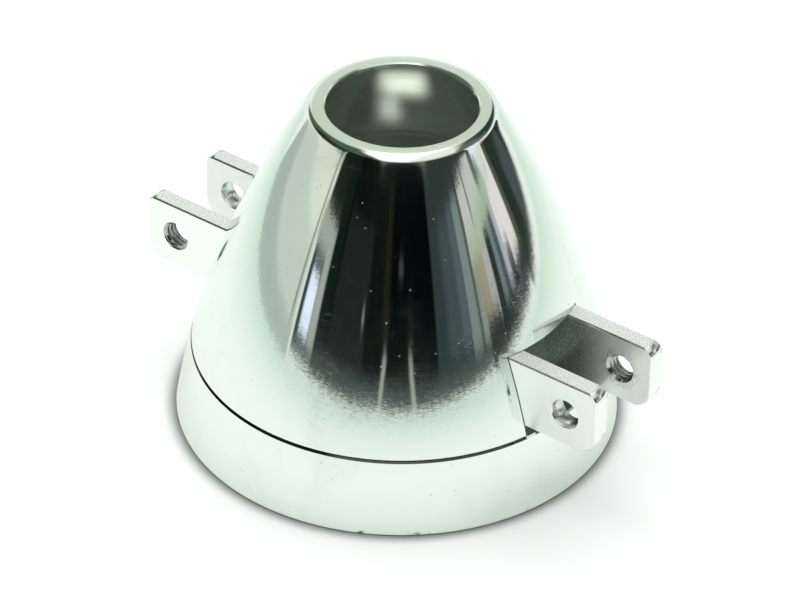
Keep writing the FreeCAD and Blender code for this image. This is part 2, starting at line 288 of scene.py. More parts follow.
# ---- effects that several metals share -------------------------------------------
PER_MM = 1000.0
FLAT_LINES = 0.7          # turning marks on flat faces, next to those along the axis
STREAKS_ROUND = 64.0      # buffing streaks: how fine round the axis, and along it per metre
STREAKS_ALONG = 620.0
STREAK_SHARE = 0.45       # strength of the streaks next to the hairs
HAIR_STRETCH = (0.7, 0.7, 15.0)    # of the streaks' pattern, so that the hairs run round the axis


def effect_group(name, inputs, outputs, kind="NodeSocketFloat"):
    """Shader node group with number sockets in and sockets of one kind out; returns the group, its
    input node and its output node."""
    group = bpy.data.node_groups.new(name, "ShaderNodeTree")
    for label, value in inputs.items():
        group.interface.new_socket(label, in_out="INPUT", socket_type="NodeSocketFloat").default_value = value
    for label in outputs:
        group.interface.new_socket(label, in_out="OUTPUT", socket_type=kind)
    return group, group.nodes.new("NodeGroupInput"), group.nodes.new("NodeGroupOutput")


def hand_out(group, out, values):
    """Links the results of a group to its output node; returns the group."""
    for label, value in values.items():
        group.links.new(value, out.inputs[label])
    return group


def use(tree, group, **inputs):
    """The outputs of a group placed in a material; an underscore in an input's name is a space."""
    values = {label.replace("_", " "): value for label, value in inputs.items()}
    return add(tree, "ShaderNodeGroup", values, node_tree=group).outputs


def make_turned_group():
    """Turning marks: noise that changes only along the profile, with a slow tone of its own."""
    group, given, out = effect_group("turning_marks", {"Lines per mm": 12.0}, ["Height", "Tone"])
    x, y, z = split(group, object_place(group))
    radius = length(group, joined(group, x, y))
    along = plus(group, times(group, radius, FLAT_LINES * PER_MM), z, PER_MM)
    fine = noise_along(group, times(group, along, given.outputs["Lines per mm"]), 1.0, 3.0, 0.7)
    return hand_out(group, out, {"Height": fine, "Tone": noise_along(group, along, 1.6, 2.0)})


def make_handling_group():
    """Traces of handling: soft smears, a few fine scratches inside them, and sparse dust."""
    group, given, out = effect_group("handling", {"Amount": 1.0}, ["Smear", "Scratch", "Dust"])
    place = object_place(group)
    amount = given.outputs["Amount"]
    cloud = noise(group, stretched(group, place, (90.0, 140.0, 60.0), (0.4, 0.2, 0.9)), 1.0, 5.0, 0.62, 0.8)
    smear = times(group, ramp(group, cloud, 0.5, 0.72), amount)
    lines = cells(group, stretched(group, place, (260.0, 900.0, 2600.0), (0.5, 0.3, 0.2)), 1.0,
                  "DISTANCE_TO_EDGE")
    scratch = times(group, ramp(group, lines, 0.03, 0.0), smear)
    dust = times(group, ramp(group, cells(group, place, 700.0), 0.06, 0.03), amount)
    return hand_out(group, out, {"Smear": smear, "Scratch": scratch, "Dust": dust})


def make_blasted_group():
    """Blasted grain: fine bumps, and light specks between them."""
    group, given, out = effect_group("blasted_grain", {"Grain per mm": 6.0}, ["Height", "Speck"])
    place = object_place(group)
    scale = times(group, given.outputs["Grain per mm"], PER_MM)
    speck = ramp(group, cells(group, place, times(group, scale, 0.8)), 0.35, 0.12)
    return hand_out(group, out, {"Height": noise(group, place, scale, 2.0, 0.6), "Speck": speck})


def make_streak_group():
    """Normal tipped up and down in narrow streaks along the profile and fine hairs round it, as
    buffing leaves."""
    group, given, out = effect_group("buffing_streaks", {"Tilt": 0.01}, ["Normal"], "NodeSocketVector")
    x, y, z = split(group, object_place(group))
    turn = sums(group, "ARCTAN2", y, x)
    place = joined(group, times(group, sums(group, "COSINE", turn), STREAKS_ROUND),
                   times(group, sums(group, "SINE", turn), STREAKS_ROUND), times(group, z, STREAKS_ALONG))
    streak = centred(group, noise(group, place, 1.0, 2.0, 0.7))
    hair = centred(group, noise(group, vectors(group, "MULTIPLY", place, HAIR_STRETCH), 1.0, 1.0))
    tip = times(group, plus(group, hair, streak, STREAK_SHARE), given.outputs["Tilt"])
    facing = add(group, "ShaderNodeNewGeometry").outputs["Normal"]
    tipped = vectors(group, "ADD", facing, joined(group, z=tip))
    return hand_out(group, out, {"Normal": vectors(group, "NORMALIZE", tipped)})


TURNED = make_turned_group()
STREAKS = make_streak_group()
HANDLING = make_handling_group()
BLASTED = make_blasted_group()

# ---- metals ----------------------------------------------------------------------
METAL = np.array([0.87, 0.93, 0.885])
# Dark colour for the dirt in the nicks and for the shade painted into the seam.
NICK_DIRT_AND_SEAM_SHADE = (0.04, 0.05, 0.035)
# Colour of the glints painted as specks on the blasted tops.
PAINTED_GLINT = (0.97, 0.99, 0.97)
# What is left of a metal's colour in smears, dark bands, dull places, feed marks, pits and under the shade
# painted over the cut.
SMEARED, BANDED, DULLED, FEED_MARKED, PITTED = 0.95, 0.78, 0.86, 0.7, 0.6
PAINTED_CUT_SHADE = (0.28, 0.33, 0.3)
NICKS_END, NICKS_FULL = 0.42 * MM, 0.2 * MM    # heights over the base
# Where the coarse cut between the right fork's ears, and the shade painted over it, begin and are full:
CUT_AND_SHADE_BEGINS, CUT_AND_SHADE_FULL = 0.2 * MM, 5.2 * MM      # inwards from the pivots
BURR_END_R, BURR_FULL_R = 2.7 * MM, 1.6 * MM   # round the pivots' axes


def metal(name):
    """Metal material, with its tree and shader."""
    material = bpy.data.materials.new(name)
    material.use_nodes = True
    shader = material.node_tree.nodes["Principled BSDF"]
    shader.inputs["Metallic"].default_value = 1.0
    return material, material.node_tree, shader


def grooved(tree, shader, amount):
    """Reflections that smear across the turning marks, which run round the Z axis."""
    around = add(tree, "ShaderNodeTangent", direction_type="RADIAL", axis="Z")
    tree.links.new(around.outputs[0], shader.inputs["Tangent"])
    shader.inputs["Anisotropic"].default_value = amount
    shader.inputs["Anisotropic Rotation"].default_value = 0.25


def bumped(tree, shader, height, strength, distance, facing=None):
    """Bumps of a height, over the surface's own normal or over a tipped one."""
    normal = add(tree, "ShaderNodeBump", {"Height": height, "Strength": strength, "Distance": distance})
    if facing:
        tree.links.new(facing, normal.inputs["Normal"])
    tree.links.new(normal.outputs[0], shader.inputs["Normal"])


def mirror_metal(name, roughness):
    """Buffed aluminium: a mirror with faint turning marks, streaks, smears, fine scratches and dust,
    nicks along its foot, and painted shade darkening the seam, though not in the slots."""
    material, tree, shader = metal(name)
    marks = use(tree, TURNED, Lines_per_mm=9.0)
    hands = use(tree, HANDLING, Amount=1.0)
    streaks = use(tree, STREAKS, Tilt=0.03)
    place = object_place(tree)
    _, y, height = split(tree, place)
    nicks = times(tree, ramp(tree, height, NICKS_END, NICKS_FULL),
                  ramp(tree, noise(tree, place, 620.0, 2.0), 0.62, 0.7))
    seam_foot = SEAM_Z - RING_BEVEL
    in_seam = times(tree, ramp(tree, height, seam_foot - 0.02 * MM, seam_foot),
                    ramp(tree, height, SEAM_Z + 0.03 * MM, SEAM_Z + 0.01 * MM))
    beside_slots = ramp(tree, sums(tree, "ABSOLUTE", y), SLOT_HALF - 0.1 * MM, SLOT_HALF)
    # Painted shade: the seam between ring and cone is darkened as if in shadow, though not across the slots.
    painted_seam_shade = times(tree, times(tree, in_seam, beside_slots), 0.97)
    base = mixed(tree, hands["Smear"], METAL, METAL * SMEARED)
    base = mixed(tree, sums(tree, "MAXIMUM", nicks, painted_seam_shade), base, NICK_DIRT_AND_SEAM_SHADE)
    tree.links.new(base, shader.inputs["Base Color"])
    rough = roughness
    for trace, share in ((hands["Smear"], 0.012), (hands["Scratch"], 0.12), (hands["Dust"], 0.55),
                         (marks["Tone"], 0.012)):
        rough = plus(tree, rough, trace, share)
    tree.links.new(rough, shader.inputs["Roughness"])
    grooved(tree, shader, 0.95)
    bumped(tree, shader, marks["Height"], 0.05, 0.004 * MM, streaks["Normal"])
    return material


def turned_metal(name, colour, roughness, lines, depth, metallic=1.0):
    """Bare turned metal: grooves round the axis whose tone and roughness change in bands."""
    material, tree, shader = metal(name)
    shader.inputs["Metallic"].default_value = metallic
    colour = np.array(colour)
    marks = use(tree, TURNED, Lines_per_mm=lines)
    hands = use(tree, HANDLING, Amount=0.6)
    tone = plus(tree, marks["Tone"], hands["Smear"], 0.3)
    tone = plus(tree, tone, centred(tree, marks["Height"]), 1.6, clamp=True)
    tree.links.new(mixed(tree, tone, colour, colour * BANDED), shader.inputs["Base Color"])
    tree.links.new(plus(tree, roughness - 0.08, marks["Tone"], 0.16), shader.inputs["Roughness"])
    grooved(tree, shader, 0.7)
    bumped(tree, shader, marks["Height"], 0.6, depth)
    return material


def drilled_metal(name, colour, roughness):
    """Wall of a drilled hole: bright metal with feed marks that run round the Y axis."""
    material, tree, shader = metal(name)
    colour = np.array(colour)
    feed = noise_along(tree, split(tree, object_place(tree))[1], 9000.0, 3.0, 0.7)
    tone = ramp(tree, feed, 0.35, 0.62)
    tree.links.new(mixed(tree, tone, colour * FEED_MARKED, colour), shader.inputs["Base Color"])
    tree.links.new(plus(tree, roughness - 0.08, feed, 0.16), shader.inputs["Roughness"])
    bumped(tree, shader, feed, 0.8, 0.02 * MM)
    return material


def satin_metal(name, colour, metallic=1.0):
    """Milled sides with fine strokes; blasted, pitted and speckled with painted glints where it looks up;
    between the ears a smoother face, and on the right fork, from the root to the pivots, a coarse cut
    with painted shade, darker towards the root, and burrs round the holes."""
    material, tree, shader = metal(name)
    colour = np.array(colour)
    coords = add(tree, "ShaderNodeTexCoord").outputs
    x, y, z = split(tree, coords["Object"])
    upward = split(tree, coords["Normal"])[2]
    grain = use(tree, BLASTED, Grain_per_mm=7.0)
    coarse = use(tree, BLASTED, Grain_per_mm=4.5)
    hands = use(tree, HANDLING, Amount=0.7)
    strokes = noise(tree, stretched(tree, coords["Object"], (500.0, 500.0, 7000.0)), 1.0, 3.0)

    # Where things are: faces that look up, their rounded corners, faces between the ears, the
    # right fork's coarse cut, which also carries painted shade, and its burrs.
    top = ramp(tree, upward, 0.55, 0.8)
    corner = times(tree, ramp(tree, upward, 0.12, 0.3), ramp(tree, upward, 0.985, 0.93))
    gap = ramp(tree, sums(tree, "ABSOLUTE", y), GAP_HALF + 0.06 * MM, GAP_HALF + 0.02 * MM)
    gap = times(tree, gap, rest(tree, top))
    right_fork = sums(tree, "GREATER_THAN", x, 0.0)
    inboard = times(tree, ramp(tree, x, PIVOT_X - CUT_AND_SHADE_BEGINS, PIVOT_X - CUT_AND_SHADE_FULL), right_fork)
    cut_and_shade = times(tree, gap, inboard)
    from_pivot = length(tree, joined(tree, sums(tree, "SUBTRACT", sums(tree, "ABSOLUTE", x), PIVOT_X),
                                     z=sums(tree, "SUBTRACT", z, PIVOT_Z)))
    burr = times(tree, times(tree, gap, ramp(tree, from_pivot, BURR_END_R, BURR_FULL_R)), right_fork)

    dull = plus(tree, times(tree, top, 0.3), hands["Smear"], 0.5, clamp=True)
    # Painted shade: the cut between the ears darkened towards the root, broken up by specks.
    shade = times(tree, cut_and_shade, plus(tree, 1.0, coarse["Speck"], -0.6))
    pits = times(tree, ramp(tree, grain["Height"], 0.52, 0.4), top)
    torn = times(tree, ramp(tree, coarse["Height"], 0.54, 0.44), burr)
    # Painted glints: light specks on the faces that look up.
    painted_glints = times(tree, times(tree, grain["Speck"], top), 0.9)
    base = mixed(tree, dull, colour, colour * DULLED)
    base = mixed(tree, shade, base, colour * PAINTED_CUT_SHADE)
    base = mixed(tree, sums(tree, "MAXIMUM", pits, torn), base, colour * PITTED)
    base = mixed(tree, painted_glints, base, PAINTED_GLINT)
    tree.links.new(base, shader.inputs["Base Color"])

    rough = 0.3
    for mask, share in ((top, 0.14), (gap, -0.06), (corner, -0.13)):
        rough = plus(tree, rough, mask, share)
    tree.links.new(rough, shader.inputs["Roughness"])
    open_skin = plus(tree, times(tree, gap, 0.9), top, rest(tree, corner))
    tree.links.new(plus(tree, metallic, open_skin, -0.5 * metallic), shader.inputs["Metallic"])

    relief = times(tree, grain["Height"], times(tree, top, 3.0))
    relief = plus(tree, relief, strokes, 0.2)
    relief = plus(tree, relief, coarse["Height"], times(tree, cut_and_shade, 0.6))
    relief = plus(tree, relief, coarse["Speck"], times(tree, burr, 3.0))
    bumped(tree, shader, relief, 0.5, 0.012 * MM)
    return material


mirror = mirror_metal("mirror_aluminium", roughness=0.05)
bore = turned_metal("turned_bore", (0.84, 0.97, 0.87), roughness=0.13, lines=11.0, depth=0.004 * MM,
                    metallic=0.85)
web_metal = satin_metal("satin_web", (0.88, 0.93, 0.89), metallic=0.3)
milled = turned_metal("milled_slot", (0.74, 0.79, 0.75), roughness=0.24, lines=16.0, depth=0.003 * MM)
satin = satin_metal("satin_aluminium", (0.955, 0.995, 0.96))
drilled = drilled_metal("drilled_hole", (0.86, 0.91, 0.87), roughness=0.14)
thread_metal = turned_metal("cut_thread", (0.62, 0.67, 0.63), roughness=0.2, lines=20.0, depth=0.002 * MM)
steel = turned_metal("turned_steel", (0.55, 0.55, 0.53), roughness=0.3, lines=14.0, depth=0.004 * MM)
plated = turned_metal("plated_steel", (0.66, 0.66, 0.64), roughness=0.22, lines=8.0, depth=0.002 * MM)


# ---- the cone --------------------------------------------------------------------
OUTSIDE, INSIDE, CUT = 0, 1, 2    # places of the cone's materials in its list


def cone_section():
    """Closed section of the shell, from the foot's outer edge up the ogive, over the nose and
    down inside.  Returns r, z and the first inner row."""
    z_low = np.linspace(SEAM_Z + CONE_BEVEL, SLOT_TOP_Z, SLOT_ROWS - 1)
    outer_low = [(float(ogive(SEAM_Z)) - CONE_BEVEL, SEAM_Z)] + [(float(ogive(z)), z) for z in z_low]
    centre_z = NOSE_Z - NOSE_ROUND
    centre_r = float(ogive(centre_z, NOSE_ROUND))
    wall = math.atan2(centre_z - OGIVE_CENTRE_Z, centre_r - OGIVE_CENTRE_R)
    wall_top = centre_z + NOSE_ROUND * math.sin(wall)
    outer_high = [(float(ogive(z)), z) for z in np.linspace(SLOT_TOP_Z, wall_top, UPPER_ROWS)[1:-1]]
    rounding = [(centre_r + NOSE_ROUND * math.cos(a), centre_z + NOSE_ROUND * math.sin(a))
                for a in np.linspace(wall, math.pi / 2, NOSE_ROWS)]
    rim = [(NOSE_HOLE_R + NOSE_EDGE_BREAK, NOSE_Z), (NOSE_HOLE_R, NOSE_Z - NOSE_EDGE_BREAK)]
    land_z = NOSE_Z - NOSE_LAND
    taper_top = SEAM_Z + INNER_TAPER_DEPTH
    nose_wall = OGIVE_R - math.hypot(NOSE_HOLE_R - OGIVE_CENTRE_R, land_z - OGIVE_CENTRE_Z)
    inner_high = [(float(ogive(land_z + t * (taper_top - land_z), nose_wall + t * (CONE_WALL - nose_wall))),
                   land_z + t * (taper_top - land_z)) for t in np.linspace(0, 1, UPPER_TAPER_ROWS)]
    foot_top = SEAM_Z + FOOT_BORE_DEPTH
    taper_r, taper_z = inner_high[-1]

    def taper(z):
        """Radius of the straight taper from the wall's foot down to the bore."""
        return taper_r + (z - taper_z) / (foot_top - taper_z) * (FOOT_BORE_R - taper_r)

    half = SLOT_ROWS // 2
    inner_high += [(taper(z), z) for z in np.linspace(taper_top, SLOT_TOP_Z, LOWER_TAPER_ROWS)[1:-1]]
    inner_low = [(taper(z), z) for z in np.linspace(SLOT_TOP_Z, foot_top, half)]
    inner_low += [(FOOT_BORE_R, z) for z in np.linspace(foot_top, SEAM_Z, SLOT_ROWS - half + 1)[1:]]
    outer = outer_low + outer_high + rounding + rim
    section = np.array(outer + inner_high + inner_low)
    return section[:, 0], section[:, 1], len(outer)


def make_cone():
    """Shell of revolution with two slots.  Point (i, j) is (r_i cos a, r_i sin a, z_i), where a runs
    from -s to s in the right slot's sector, s to pi - s behind, and so on round, and s = asin(w / r_i)
    keeps the sector's sides on the slot's planes y = w and y = -w.  The slots' sectors have no faces
    below the slot's top; a lid over each slot and four side walls close the shell there."""
    r, z, first_inner = cone_section()
    rows = len(r)
    side = np.arcsin(SLOT_HALF / r)[:, None]
    t_slot = np.linspace(0, 1, SLOT_COLUMNS, endpoint=False)[None, :]
    t_wall = np.linspace(0, 1, WALL_COLUMNS, endpoint=False)[None, :]
    angle = np.concatenate([
        -side + t_slot * 2 * side,
        side + t_wall * (math.pi - 2 * side),
        math.pi - side + t_slot * 2 * side,
        math.pi + side + t_wall * (math.pi - 2 * side)], axis=1)
    columns = angle.shape[1]
    half = SLOT_COLUMNS + WALL_COLUMNS
    slot_columns = np.concatenate([np.arange(SLOT_COLUMNS), half + np.arange(SLOT_COLUMNS)])
    faces, kinds = [], []

    def lay(kind, *corners):
        """Adds quads from four arrays of point numbers."""
        faces.append(np.stack(corners, -1))
        kinds.append(np.full(len(corners[0]), kind))

    for i in range(rows):
        row, row_next = i * columns, (i + 1) % rows * columns
        whole = SLOT_ROWS - 1 <= i < rows - SLOT_ROWS
        j = np.arange(columns) if whole else np.setdiff1d(np.arange(columns), slot_columns)
        j_next = (j + 1) % columns
        kind = INSIDE if first_inner - 2 <= i else OUTSIDE
        lay(kind, row + j, row + j_next, row_next + j_next, row_next + j)
    j, j_next = slot_columns, (slot_columns + 1) % columns
    top_out, top_in = (SLOT_ROWS - 1) * columns, (rows - SLOT_ROWS) * columns
    lay(CUT, top_out + j, top_out + j_next, top_in + j_next, top_in + j)
    k = np.arange(SLOT_ROWS - 1)
    for at in (0, SLOT_COLUMNS, half, half + SLOT_COLUMNS):
        lay(CUT, k * columns + at, (k + 1) * columns + at, (rows - 2 - k) * columns + at,
            (rows - 1 - k) * columns + at)
    cone = surface("cone_shell", turned(r, z, angle), np.concatenate(faces), "polished_cone",
                   [mirror, bore, milled], np.concatenate(kinds))
    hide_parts("spinner_cone")


# ---- the base ring ---------------------------------------------------------------
def make_ring():
    """Closed ring of revolution: (r_i cos a, r_i sin a, z_i) over its section, from the foot up the
    ogive, in over the ledge and down the bore.  The web, the register and the hub are the CAD's own
    faces, and where the ring passes under them its faces lie just inside the metal."""
    bore_r = BASE_R - SKIRT_WALL
    ledge_r = FOOT_BORE_R - REGISTER_CLEAR
    web_bottom = SEAM_Z - WEB_THICK
    hidden_z = web_bottom + 0.03 * MM
    section = [(r, 0.0) for r in np.linspace(bore_r, BASE_R - FOOT_BEVEL, 3)]
    section += [(float(ogive(z)), z) for z in np.linspace(FOOT_BEVEL, SEAM_Z - RING_BEVEL, 22)]
    section += [(float(ogive(SEAM_Z)) - RING_BEVEL, SEAM_Z)]
    section += [(r, SEAM_Z) for r in np.linspace(float(ogive(SEAM_Z)) - 2 * CONE_BEVEL, ledge_r, 4)]
    section += [(ledge_r, hidden_z), (bore_r, hidden_z)]
    section += [(bore_r, z) for z in np.linspace(web_bottom, 0, 6)[1:-1]]
    r, z = np.array(section).T
    angle = np.linspace(0, 2 * math.pi, RING_COLUMNS, endpoint=False)[None, :]
    ring = surface("base_ring", turned(r, z, angle), quads(len(r), RING_COLUMNS, True, True),
                   "polished_backplate", [mirror])

    def inside(face):
        """True for the faces of the web, the register and the hub."""
        radii = [math.hypot(v.co.x, v.co.y) for v in face.verts]
        heights = [v.co.z for v in face.verts]
        on_ledge = min(radii) > ledge_r - REGISTER_CLEAR and min(heights) > SEAM_Z - 0.001 * MM
        on_skirt = min(radii) > bore_r - MARGIN
        return not on_ledge and not on_skirt

    web = merged_copy("base_web", "backplate", "polished_backplate", [web_metal], inside)
    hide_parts("backplate")
    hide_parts("backplate")


# ---- the yoke --------------------------------------------------------------------
def threaded(x, y):
    """True at the two ears that hold the pivots' threads: at opposite corners of the yoke."""
    return x * y > 0


def make_thread(name, x_side, y_side):
    """Cut thread in an ear.  Point (t, a) is at the depth t under the ear's outer face and has the
    radius max(thread, mouth), where the thread is crest + (root - crest) * (a trapezoid of the phase
    t / pitch - a / 2 pi), and each mouth is a cone."""
    t = np.linspace(0, EAR_THICK, THREAD_ROWS)[:, None]
    a = np.linspace(0, 2 * math.pi, THREAD_COLUMNS, endpoint=False)[None, :]
    phase = np.mod(t / THREAD_PITCH - a / (2 * math.pi), 1.0)
    groove = np.clip(GROOVE_TOP - GROOVE_FLANK * np.abs(phase - 0.5), 0.0, 1.0)
    radius = THREAD_CREST_R + (THREAD_ROOT_R - THREAD_CREST_R) * groove
    mouth = THREAD_MOUTH_R - np.minimum(t, EAR_THICK - t)
    radius = np.maximum(radius, mouth + 0 * a)
    points = np.stack([x_side * PIVOT_X + radius * np.cos(a), y_side * (YOKE_HIGH[1] - t) + 0 * a,
                       PIVOT_Z + radius * np.sin(a)], -1)
    faces = quads(THREAD_ROWS, THREAD_COLUMNS, False, True)
    mesh = bpy.data.meshes.new(name)
    mesh.from_pydata(points.reshape(-1, 3), [], faces.tolist() if y_side < 0 else faces[:, ::-1].tolist())
    thread = finish_mesh(name, mesh, SHARP_THREAD, [thread_metal], "satin_yoke")
    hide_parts("blade_yoke")


def make_yoke():
    """The milled yoke, with cut threads in place of the plain walls of two of its holes."""
    def from_pivot(corner, side):
        """Distance of a corner from the axis of the pivot on the side with the sign of a number."""
        return math.hypot(corner.x - math.copysign(PIVOT_X, side), corner.z - PIVOT_Z)

    def keep(face):
        """False for the plain walls of the two holes that get a cut thread."""
        centre = face.calc_center_median()
        return not threaded(centre.x, centre.y) or any(
            from_pivot(v.co, centre.x) > THREAD_MOUTH_R + MARGIN for v in face.verts)

    def in_hole(polygon):
        """True for the walls of the plain holes."""
        corners = [mesh.vertices[k].co for k in polygon.vertices]
        return all(from_pivot(c, c.x) < THREAD_MOUTH_R - 2 * MARGIN for c in corners)

    yoke = merged_copy("fork_yoke", "blade_yoke", "satin_yoke", [satin, drilled], keep)
    mesh = yoke.data
    mesh.polygons.foreach_set("material_index", [int(in_hole(p)) for p in mesh.polygons])
    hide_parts("blade_yoke")
    make_thread("pivot_thread_left", -1, -1)
    make_thread("pivot_thread_right", 1, 1)


def dress_fasteners():
    """Steel on the CAD's own pieces inside: the collet with its washer and nut, and the screws."""
    for node, material in (("collet", steel), ("collet_washer", plated), ("collet_nut", plated),
                           ("cone_screws", steel)):
        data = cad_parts[node].data
        if not data.materials:
            data.materials.append(material)
        for index in range(len(data.materials)):
            data.materials[index] = material


make_cone()
make_ring()
make_yoke()
dress_fasteners()


# ---- studio ----------------------------------------------------------------------
CAMERA_AZIMUTH = 36.322
CAMERA_ELEVATION = 35.687
CAMERA_ROLL = 1.078
CAMERA_DISTANCE = 0.39568
CAMERA_AIM = Vector((0.00045, -0.00037, 0.01261))
CAMERA_LENS = 177.65
CAMERA_SENSOR = 36.0
CAMERA_NEAR = 0.01

# Panels round the object: azimuth from and to, measured from the camera's and to its right,
# elevation from and to, softness of the edges, all in degrees, and the colour seen in the metal.
PANELS = [
    (-200, 200, 30, 60, 8, (194, 208, 188)),
    (-200, 200, 56, 95, 9, (150, 162, 148)),
    (-153, -20, 20, 70, 9, (76, 90, 74)),
    (-125, -62, 23, 44, 9, (38, 50, 36)),
    (100, 166, 25, 66, 9, (66, 92, 84)),
    (116, 168, 30, 47, 8, (34, 62, 56)),
    (66, 124, 32, 64, 9, (104, 102, 92)),
    (14, 74, 30, 60, 10, (140, 148, 136)),
    (96, 114, 15, 28, 5, (214, 206, 206)),
    (-66, -34, 27, 42, 5, (14, 20, 17)),
    (-131, -65, -9, 0, 1.2, (165, 182, 168)),
    (-131, -65, 0, 10, 1.5, (190, 204, 190)),
    (-131, -65, 10, 20, 1.5, (212, 222, 202)),
    (-68.6, -67.4, 0, 22, 0.7, (120, 132, 120)),
    (-65.5, -63, -6, 31, 0.8, (212, 222, 208)),
    (-64, 82, -2.6, 34, 1.0, (46, 56, 52)),
    (-64, 23.5, -2.6, 34, 1.0, (12, 17, 15)),
    (-42, -20, -2.6, 20, 2.0, (28, 35, 32)),
    (-10, -6, 7, 26, 1.0, (28, 28, 18)),
    (-5, 23, 7, 29, 2.0, (3, 5, 6)),
    (0, 3, 15.4, 16.8, 1.5, (74, 90, 84)),
    (-22.6, -21.4, 7.8, 9.4, 0.8, (150, 160, 158)),
    (-64.5, -50, 15.2, 34, 1.0, (20, 30, 25)),
    (-66, -50, 10.5, 15.2, 0.8, (158, 170, 158)),
    (-64, -50, -2.5, 10.5, 0.8, (38, 66, 60)),
    (-54.2, -50, -2.5, 11, 0.7, (160, 164, 156)),
    (-61.5, -54.8, 0.5, 8, 0.7, (225, 240, 250)),
    (-50, -44, -2.5, 30, 2.0, (16, 30, 26)),
    (23.5, 82, 20, 34, 1.5, (44, 54, 50)),
    (23.5, 46, 2, 20, 1.2, (46, 58, 57)),
    (31, 46, 2, 20, 5.0, (62, 76, 77)),
    (40, 46, 2, 20, 3.0, (78, 93, 94)),
    (23.5, 46, 1, 2.6, 0.8, (34, 56, 52)),
    (45.5, 51.5, -1, 20, 0.8, (118, 134, 131)),
    (51, 53.5, -1, 20, 0.8, (74, 90, 78)),
    (53, 62, 0, 12, 0.8, (140, 144, 130)),
    (58.5, 61.5, 2, 10.5, 0.7, (160, 148, 114)),
    (53.5, 75, 13.5, 20, 0.8, (190, 194, 188)),
    (61, 62.4, 14, 20, 0.6, (104, 116, 108)),
    (74, 79, 15, 18.5, 1.2, (92, 104, 104)),
    (53, 92, 10.6, 14.2, 1.0, (166, 184, 160)),
    (84, 97, 11.4, 15.5, 2.0, (206, 218, 206)),
    (62, 67.5, 1.5, 10.6, 0.7, (168, 172, 166)),
    (67.3, 71.6, 1.0, 10.8, 0.7, (32, 42, 40)),
    (71.4, 74.8, 1.2, 10.6, 1.2, (108, 124, 128)),
    (74.6, 78, 0.5, 10.6, 0.7, (72, 88, 88)),
    (78, 81.8, 1.2, 10.6, 0.8, (166, 176, 184)),
    (81.3, 94.5, 1.0, 10.6, 0.8, (222, 217, 215)),
    (81.6, 86, 0.4, 4.4, 1.0, (78, 84, 84)),
    (57, 96, -3.3, 1.4, 0.8, (28, 42, 40)),
    (94.8, 134, -4.2, 13, 1.0, (36, 48, 40)),
    (94, 98, 0, 11, 1.5, (74, 84, 68)),
    (107, 122, -2.6, 3.5, 3.0, (66, 78, 80)),
    (79, 92, 15.5, 34, 2.0, (222, 232, 236)),
    (-50, 58, -2.8, 1.0, 2.2, (56, 68, 65)),
    (56.5, 66, -3.3, 2.8, 1.2, (30, 44, 42)),
    (-63, -50, -2.8, -0.4, 1.2, (60, 84, 78)),
]
# Slanted legs in the dark part: azimuth at the high and at the low elevation, and their width.
LEGS = [(-7.0, -9.5, 2.0), (7.0, 9.5, 2.0)]
LEG_HIGH, LEG_LOW, LEG_TOP = 5.0, -2.5, 4.6
LEG_TONE = (150, 165, 150)
BACK_TONE = (228, 241, 231)
# Softbox overhead: strength, its tone, and the tone of its dimmer right half.
SOFTBOX = 1.25
SOFTBOX_TONE, SOFTBOX_DIM_TONE = (246, 250, 244), (226, 238, 222)
# Its outline in zenith angles, u to the right and v to the front: the left line starts at v = -54
# and is at u = -22 after a run of 60, the right one goes through a u at each v, and the dimmer
# half begins at a u of its own.
SOFTBOX_FRONT, SOFTBOX_BACK, SOFTBOX_DIM = 47, -52.5, 10
SOFTBOX_LEFT, SOFTBOX_LEFT_BACK, SOFTBOX_LEFT_RUN = -22, -54, 60
SOFTBOX_RIGHT_V, SOFTBOX_RIGHT_U = [-53, 2, 13, 27, 45], [1, 38, 44, 38, 27]
SOFTBOX_LOWEST = 25       # elevation under which the softbox ends
ROOM_R = 3.0
# Rows of the room: close together up to the first elevation's end, wider apart above.
ROOM_FLOOR, ROOM_FINE, ROOM_FINE_ROWS, ROOM_WIDE_ROWS = -9, 36, 91, 46
TABLE_R = 0.205
TABLE_NEAR_TONE, TABLE_FAR_TONE = (0.95, 0.995, 0.96), (0.66, 0.80, 0.69)    # as reflections see it
# The table's white, the tone of the contact shadow painted into it, and how far from the object that painted
# shadow reaches.
TABLE_WHITE, PAINTED_CONTACT_SHADOW = (0.98, 0.99, 0.985), (0.13, 0.15, 0.135)
PAINTED_SHADOW_REACH = 2.3 * MM
TABLE_GLOW = 0.1          # for camera rays only, so that the table comes out white
SKY = 0.66
# Small lamps for the wall inside the nose hole: name, depth under the rim and shift to the right of
# the spot they look at, width and height, in mm, and power.
NOSE_LIGHTS = [("nose_light", 2.6, -0.1, 4.3, 2.4, 0.00044), ("nose_light_low", 5.9, -1.6, 1.6, 2.6, 0.00011)]
NOSE_LIGHT_SPREAD = math.radians(7.5)


def direction(azimuth, elevation):
    """The x, y and z of the unit vector towards a bearing, given as for the panels: for e and the
    azimuth's angle a in the frame, (cos e cos a, cos e sin a, sin e)."""
    a = np.radians(azimuth + CAMERA_AZIMUTH - 90)
    e = np.radians(elevation)
    return np.cos(e) * np.cos(a), np.cos(e) * np.sin(a), np.sin(e) + 0 * a


def edge(value, soft):
    """Straight rise from 0 to 1 over a softness, with a half where the value is 0."""
    return np.clip(value / soft + 0.5, 0, 1)


